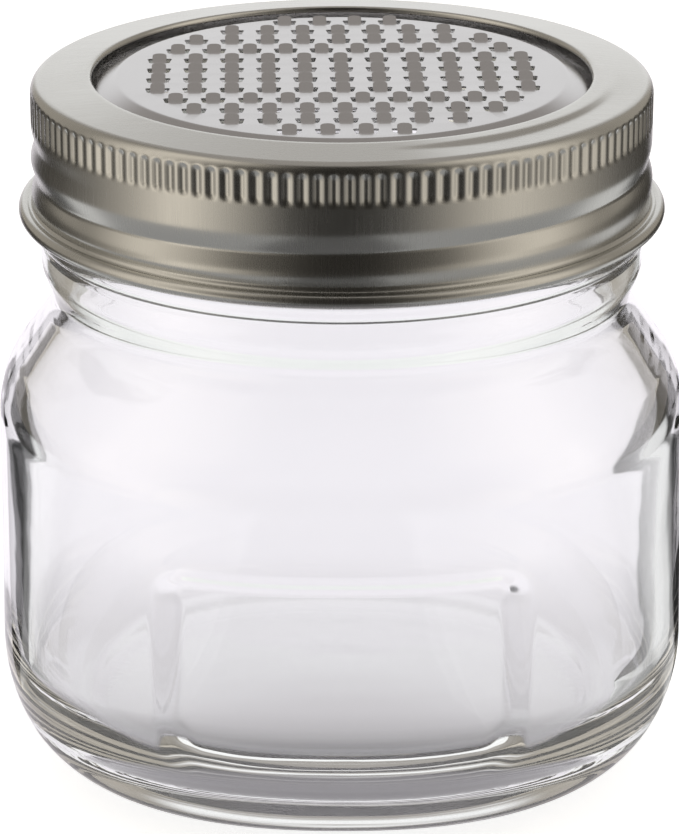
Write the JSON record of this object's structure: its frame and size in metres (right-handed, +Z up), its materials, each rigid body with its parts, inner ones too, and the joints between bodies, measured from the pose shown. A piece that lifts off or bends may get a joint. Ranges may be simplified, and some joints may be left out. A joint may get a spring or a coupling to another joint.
{
  "type": "storage jar with grater lid",
  "caption": "Squat soft-square clear glass jar with a pressed front panel, closed by a knurled steel screw band that holds a perforated grater disc.",
  "frame": {"origin": "centre of the jar's base, on the surface that it stands on", "axes": "+Z up along the jar's axis, -Y towards the front, which has the pressed panel"},
  "size_m": [0.0802, 0.08, 0.0805],
  "materials": {
    "clear_glass": "clear, polished",
    "bright_steel": "bright rolled sheet",
    "satin_steel": "satin"
  },
  "bodies": {
    "jar": {"glass_jar": "clear_glass"},
    "disc": {"grater_disc": "bright_steel"},
    "band": {"screw_band": "satin_steel"}
  },
  "joints": [
    {"name": "lid_rise", "type": "slide", "parent": "jar", "child": "disc", "axis": [0, 0, 1], "range_m": [0, 0.0168]},
    {"name": "band_turn", "type": "hinge", "parent": "disc", "child": "band", "pos_m": [0, 0, 0.0799], "axis": [0, 0, 1], "range_deg": [0, 1440]}
  ],
  "couplings": [
    {"joint": "lid_rise", "follows": "band_turn", "m_per_rad": 0.00066845}
  ]
}
